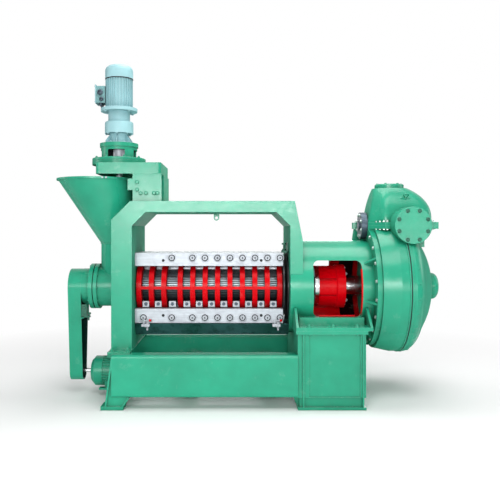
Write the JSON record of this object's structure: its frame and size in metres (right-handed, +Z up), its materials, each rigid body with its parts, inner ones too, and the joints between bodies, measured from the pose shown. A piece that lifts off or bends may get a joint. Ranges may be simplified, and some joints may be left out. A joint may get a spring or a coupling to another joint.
{
  "type": "screw oil press",
  "caption": "Screw press for oilseed: portal frame with a barred pressing cage, feed hopper with its own feeder, belt-driven feed worm and a gearbox at the outlet end.",
  "frame": {"origin": "on the floor, midway between the four anchor bolts, under the press axis", "axes": "+X from the belt guard along the press towards the gearbox, +Y to the back, +Z up"},
  "size_m": [2.9579, 1.15, 2.55],
  "materials": {
    "green_enamel": "semi-gloss",
    "grey_blue_enamel": "semi-gloss",
    "red_enamel": "gloss",
    "machined_steel": "machined",
    "bright_shaft": "ground",
    "oiled_steel": "oiled, satin",
    "gear_steel": "oiled",
    "black_enamel": "satin",
    "grey_iron": "turned",
    "belt_rubber": "matt"
  },
  "bodies": {
    "frame": {"back_cage_ribs": "red_enamel", "back_clamp_bars": "machined_steel", "back_lining_bars": "oiled_steel", "base_beam_back": "green_enamel", "base_beam_front": "green_enamel", "base_cross_members": "green_enamel", "belt_guard": "green_enamel", "cage_bolts": "machined_steel", "cage_end_ring": "oiled_steel", "coupling_housing": "green_enamel", "discharge_ring": "black_enamel", "drive_belts": "belt_rubber", "feed_bearing_housing": "green_enamel", "feed_housing": "green_enamel", "feed_motor": "green_enamel", "feed_motor_end_bells": "green_enamel", "feeder_fan_cowl": "grey_blue_enamel", "feeder_lantern": "green_enamel", "feeder_motor": "grey_blue_enamel", "feeder_motor_plate": "green_enamel", "feeder_reducer": "grey_blue_enamel", "feeder_support": "green_enamel", "feeder_terminal_box": "grey_blue_enamel", "front_cage_ribs": "red_enamel", "front_clamp_bars": "machined_steel", "front_lining_bars": "oiled_steel", "gearbox_case": "green_enamel", "gearbox_end_cap": "green_enamel", "gearbox_end_cover": "green_enamel", "gearbox_lid": "green_enamel", "gearbox_upper_case": "green_enamel", "guard_bracket": "green_enamel", "hopper": "green_enamel", "input_back_cover": "green_enamel", "input_bearing_housing": "green_enamel", "input_front_cover": "green_enamel", "knife_bars": "machined_steel", "layshaft_cover": "oiled_steel", "left_feet": "green_enamel", "motor_rails": "green_enamel", "oil_tray": "black_enamel", "pedestal": "green_enamel", "portal_frame": "green_enamel", "saddle": "green_enamel", "shaft_bearings": "gear_steel", "thrust_bearing": "gear_steel", "wedge_blocks": "machined_steel"},
    "press_line": {"press_shaft": "bright_shaft", "press_worms": "oiled_steel", "shaft_coupling": "red_enamel", "output_shaft": "bright_shaft", "bull_gear": "gear_steel"},
    "layshaft_line": {"layshaft": "bright_shaft", "bevel_gear": "gear_steel"},
    "input_line": {"input_shaft": "bright_shaft"},
    "feed_line": {"feed_worm": "oiled_steel", "feed_pulley": "grey_iron"},
    "motor_line": {"motor_shaft": "bright_shaft", "motor_pulley": "grey_iron"},
    "feeder_line": {"feeder_shaft": "machined_steel"}
  },
  "joints": [
    {"name": "press_spin", "type": "hinge", "parent": "frame", "child": "press_line", "pos_m": [0, 0, 0.832], "axis": [1, 0, 0], "continuous": true},
    {"name": "layshaft_spin", "type": "hinge", "parent": "frame", "child": "layshaft_line", "pos_m": [1.1, 0, 1.302], "axis": [1, 0, 0], "continuous": true},
    {"name": "input_spin", "type": "hinge", "parent": "frame", "child": "input_line", "pos_m": [1.287, 0, 1.302], "axis": [0, 1, 0], "continuous": true},
    {"name": "feed_spin", "type": "hinge", "parent": "frame", "child": "feed_line", "pos_m": [-1, 0, 0.832], "axis": [1, 0, 0], "continuous": true},
    {"name": "motor_spin", "type": "hinge", "parent": "frame", "child": "motor_line", "pos_m": [-1.2, 0, 0.172], "axis": [1, 0, 0], "continuous": true},
    {"name": "feeder_spin", "type": "hinge", "parent": "frame", "child": "feeder_line", "pos_m": [-0.906, 0, 1.4], "axis": [0, 0, 1], "continuous": true}
  ],
  "couplings": [
    {"joint": "layshaft_spin", "follows": "press_spin", "ratio": -4.875},
    {"joint": "input_spin", "follows": "press_spin", "ratio": -9.75},
    {"joint": "motor_spin", "follows": "feed_spin", "ratio": 2.3333}
  ]
}
